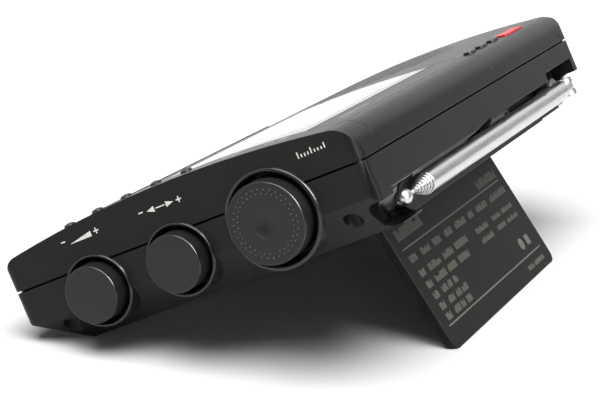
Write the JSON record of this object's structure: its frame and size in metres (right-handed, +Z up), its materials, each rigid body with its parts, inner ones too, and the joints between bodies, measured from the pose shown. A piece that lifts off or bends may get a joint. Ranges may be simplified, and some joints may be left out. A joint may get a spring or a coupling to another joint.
{
  "type": "shortwave receiver",
  "caption": "Portable shortwave radio on its flip stand: crowned face with keys and display, three side knobs, telescopic aerial folded along the top edge.",
  "frame": {"origin": "middle of the bounding box on the table, under the radio as it stands on its open flip stand", "axes": "+X towards the knob side along the length, +Y towards the back where the stand opens, +Z up"},
  "size_m": [0.1922, 0.118, 0.0687],
  "materials": {
    "front_shell": "satin moulded black",
    "rear_shell": "fine-grained moulded black",
    "grille": "matte black",
    "lens": "polished dark window",
    "key": "soft-touch black",
    "grey_key": "soft-touch dark grey",
    "small_key": "matte black",
    "red_key": "satin red",
    "knob": "fine matte black with a polished rim",
    "stand": "matte black",
    "steel": "zinc-plated",
    "component_metal": "stamped",
    "swivel": "plated, a little dull",
    "chrome": "polished",
    "display": "liquid crystal",
    "board": "solder resist",
    "component_plastic": "moulded",
    "ferrite": "sintered",
    "speaker": "pressed steel with paper cone",
    "cell": "printed sleeve"
  },
  "bodies": {
    "cabinet": {"front_cabinet": "front_shell", "rear_cabinet": "rear_shell", "speaker_grille": "grille", "display_lens": "lens", "stand_hinge_pins": "steel", "display_module": "display", "main_board": "board", "key_board": "board", "key_switches": "component_plastic", "ferrite_rod": "ferrite", "speaker": "speaker", "battery_cells": "cell", "battery_contacts": "steel", "case_screws": "steel", "power_jack": "component_plastic", "audio_jacks": "component_plastic", "tuning_encoder": "component_metal", "potentiometers": "component_metal"},
    "flip_stand": {"flip_stand": "stand"},
    "battery_door": {"battery_door": "rear_shell"},
    "aerial_swivel": {"aerial_swivel": "swivel", "aerial_hinge_pin": "chrome"},
    "aerial_section_1": {"aerial_section_1": "chrome"},
    "aerial_section_2": {"aerial_section_2": "chrome"},
    "aerial_section_3": {"aerial_section_3": "chrome"},
    "aerial_section_4": {"aerial_section_4": "chrome"},
    "aerial_section_5": {"aerial_section_5": "chrome"},
    "aerial_section_6": {"aerial_section_6": "chrome"},
    "aerial_section_7": {"aerial_section_7": "chrome", "aerial_tip": "chrome"},
    "tuning_knob": {"tuning_knob": "knob", "tuning_shaft": "steel"},
    "fine_knob": {"fine_knob": "knob", "fine_shaft": "steel"},
    "volume_knob": {"volume_knob": "knob", "volume_shaft": "steel"},
    "light_bar": {"light_bar": "front_shell"},
    "power_button": {"power_button": "red_key"},
    "clock_key_1": {"clock_key_1": "small_key"},
    "clock_key_2": {"clock_key_2": "small_key"},
    "clock_key_3": {"clock_key_3": "small_key"},
    "tone_switch": {"tone_switch": "component_plastic"},
    "gain_switch": {"gain_switch": "component_plastic"},
    "band_key_1": {"band_key_1": "grey_key"},
    "band_key_2": {"band_key_2": "grey_key"},
    "page_key_1": {"page_key_1": "key"},
    "page_key_2": {"page_key_2": "key"},
    "page_key_3": {"page_key_3": "key"},
    "page_key_4": {"page_key_4": "key"},
    "page_key_5": {"page_key_5": "key"},
    "digit_key_1": {"digit_key_1": "key"},
    "digit_key_2": {"digit_key_2": "key"},
    "digit_key_3": {"digit_key_3": "key"},
    "digit_key_4": {"digit_key_4": "key"},
    "digit_key_5": {"digit_key_5": "key"},
    "digit_key_6": {"digit_key_6": "key"},
    "digit_key_7": {"digit_key_7": "key"},
    "digit_key_8": {"digit_key_8": "key"},
    "digit_key_9": {"digit_key_9": "key"},
    "digit_key_0": {"digit_key_0": "key"}
  },
  "joints": [
    {"name": "stand_hinge", "type": "hinge", "parent": "cabinet", "child": "flip_stand", "pos_m": [0.00355, 0.03228, 0.03495], "axis": [1, 0, 0], "range_deg": [-100, 0]},
    {"name": "battery_door_hinge", "type": "hinge", "parent": "cabinet", "child": "battery_door", "pos_m": [-0.0026, -0.00878, 0.01359], "axis": [1, 0, 0], "range_deg": [0, 75]},
    {"name": "aerial_swivel", "type": "hinge", "parent": "cabinet", "child": "aerial_swivel", "pos_m": [-0.0836, 0.04614, 0.04532], "axis": [0, 0.9053, 0.4247], "range_deg": [0, 180]},
    {"name": "aerial_raise", "type": "hinge", "parent": "aerial_swivel", "child": "aerial_section_1", "pos_m": [-0.0836, 0.04976, 0.04702], "axis": [0, -0.4247, 0.9053], "range_deg": [0, 90]},
    {"name": "aerial_slide_2", "type": "slide", "parent": "aerial_section_1", "child": "aerial_section_2", "axis": [1, 0, 0], "range_m": [0, 0.112]},
    {"name": "aerial_slide_3", "type": "slide", "parent": "aerial_section_2", "child": "aerial_section_3", "axis": [1, 0, 0], "range_m": [0, 0.112]},
    {"name": "aerial_slide_4", "type": "slide", "parent": "aerial_section_3", "child": "aerial_section_4", "axis": [1, 0, 0], "range_m": [0, 0.112]},
    {"name": "aerial_slide_5", "type": "slide", "parent": "aerial_section_4", "child": "aerial_section_5", "axis": [1, 0, 0], "range_m": [0, 0.112]},
    {"name": "aerial_slide_6", "type": "slide", "parent": "aerial_section_5", "child": "aerial_section_6", "axis": [1, 0, 0], "range_m": [0, 0.112]},
    {"name": "aerial_slide_7", "type": "slide", "parent": "aerial_section_6", "child": "aerial_section_7", "axis": [1, 0, 0], "range_m": [0, 0.112]},
    {"name": "tuning_turn", "type": "hinge", "parent": "cabinet", "child": "tuning_knob", "pos_m": [0.0924, 0.02189, 0.04333], "axis": [1, 0, 0], "continuous": true},
    {"name": "fine_turn", "type": "hinge", "parent": "cabinet", "child": "fine_knob", "pos_m": [0.0924, -0.00483, 0.02942], "axis": [1, 0, 0], "range_deg": [-140, 140]},
    {"name": "volume_turn", "type": "hinge", "parent": "cabinet", "child": "volume_knob", "pos_m": [0.0924, -0.02964, 0.01778], "axis": [1, 0, 0], "range_deg": [-150, 150]},
    {"name": "light_bar_press", "type": "slide", "parent": "cabinet", "child": "light_bar", "axis": [0, -0.9053, -0.4247], "range_m": [0, 0.00045], "stiffness_N_per_m": 2500},
    {"name": "power_button_press", "type": "slide", "parent": "cabinet", "child": "power_button", "axis": [0, 0.4247, -0.9053], "range_m": [0, 0.0008], "stiffness_N_per_m": 900},
    {"name": "clock_key_1_press", "type": "slide", "parent": "cabinet", "child": "clock_key_1", "axis": [0, 0.4247, -0.9053], "range_m": [0, 0.0008], "stiffness_N_per_m": 700},
    {"name": "clock_key_2_press", "type": "slide", "parent": "cabinet", "child": "clock_key_2", "axis": [0, 0.4247, -0.9053], "range_m": [0, 0.0008], "stiffness_N_per_m": 700},
    {"name": "clock_key_3_press", "type": "slide", "parent": "cabinet", "child": "clock_key_3", "axis": [0, 0.4247, -0.9053], "range_m": [0, 0.0008], "stiffness_N_per_m": 700},
    {"name": "tone_slide", "type": "slide", "parent": "cabinet", "child": "tone_switch", "axis": [0, 0.9053, 0.4247], "range_m": [0, 0.0036]},
    {"name": "gain_slide", "type": "slide", "parent": "cabinet", "child": "gain_switch", "axis": [0, 0.9053, 0.4247], "range_m": [0, 0.0036]},
    {"name": "band_key_1_press", "type": "slide", "parent": "cabinet", "child": "band_key_1", "axis": [0, 0.4247, -0.9053], "range_m": [0, 0.0008], "stiffness_N_per_m": 700},
    {"name": "band_key_2_press", "type": "slide", "parent": "cabinet", "child": "band_key_2", "axis": [0, 0.4247, -0.9053], "range_m": [0, 0.0008], "stiffness_N_per_m": 700},
    {"name": "page_key_1_press", "type": "slide", "parent": "cabinet", "child": "page_key_1", "axis": [0, 0.4247, -0.9053], "range_m": [0, 0.0008], "stiffness_N_per_m": 700},
    {"name": "page_key_2_press", "type": "slide", "parent": "cabinet", "child": "page_key_2", "axis": [0, 0.4247, -0.9053], "range_m": [0, 0.0008], "stiffness_N_per_m": 700},
    {"name": "page_key_3_press", "type": "slide", "parent": "cabinet", "child": "page_key_3", "axis": [0, 0.4247, -0.9053], "range_m": [0, 0.0008], "stiffness_N_per_m": 700},
    {"name": "page_key_4_press", "type": "slide", "parent": "cabinet", "child": "page_key_4", "axis": [0, 0.4247, -0.9053], "range_m": [0, 0.0008], "stiffness_N_per_m": 700},
    {"name": "page_key_5_press", "type": "slide", "parent": "cabinet", "child": "page_key_5", "axis": [0, 0.4247, -0.9053], "range_m": [0, 0.0008], "stiffness_N_per_m": 700},
    {"name": "digit_key_1_press", "type": "slide", "parent": "cabinet", "child": "digit_key_1", "axis": [0, 0.4247, -0.9053], "range_m": [0, 0.0008], "stiffness_N_per_m": 700},
    {"name": "digit_key_2_press", "type": "slide", "parent": "cabinet", "child": "digit_key_2", "axis": [0, 0.4247, -0.9053], "range_m": [0, 0.0008], "stiffness_N_per_m": 700},
    {"name": "digit_key_3_press", "type": "slide", "parent": "cabinet", "child": "digit_key_3", "axis": [0, 0.4247, -0.9053], "range_m": [0, 0.0008], "stiffness_N_per_m": 700},
    {"name": "digit_key_4_press", "type": "slide", "parent": "cabinet", "child": "digit_key_4", "axis": [0, 0.4247, -0.9053], "range_m": [0, 0.0008], "stiffness_N_per_m": 700},
    {"name": "digit_key_5_press", "type": "slide", "parent": "cabinet", "child": "digit_key_5", "axis": [0, 0.4247, -0.9053], "range_m": [0, 0.0008], "stiffness_N_per_m": 700},
    {"name": "digit_key_6_press", "type": "slide", "parent": "cabinet", "child": "digit_key_6", "axis": [0, 0.4247, -0.9053], "range_m": [0, 0.0008], "stiffness_N_per_m": 700},
    {"name": "digit_key_7_press", "type": "slide", "parent": "cabinet", "child": "digit_key_7", "axis": [0, 0.4247, -0.9053], "range_m": [0, 0.0008], "stiffness_N_per_m": 700},
    {"name": "digit_key_8_press", "type": "slide", "parent": "cabinet", "child": "digit_key_8", "axis": [0, 0.4247, -0.9053], "range_m": [0, 0.0008], "stiffness_N_per_m": 700},
    {"name": "digit_key_9_press", "type": "slide", "parent": "cabinet", "child": "digit_key_9", "axis": [0, 0.4247, -0.9053], "range_m": [0, 0.0008], "stiffness_N_per_m": 700},
    {"name": "digit_key_0_press", "type": "slide", "parent": "cabinet", "child": "digit_key_0", "axis": [0, 0.4247, -0.9053], "range_m": [0, 0.0008], "stiffness_N_per_m": 700}
  ]
}
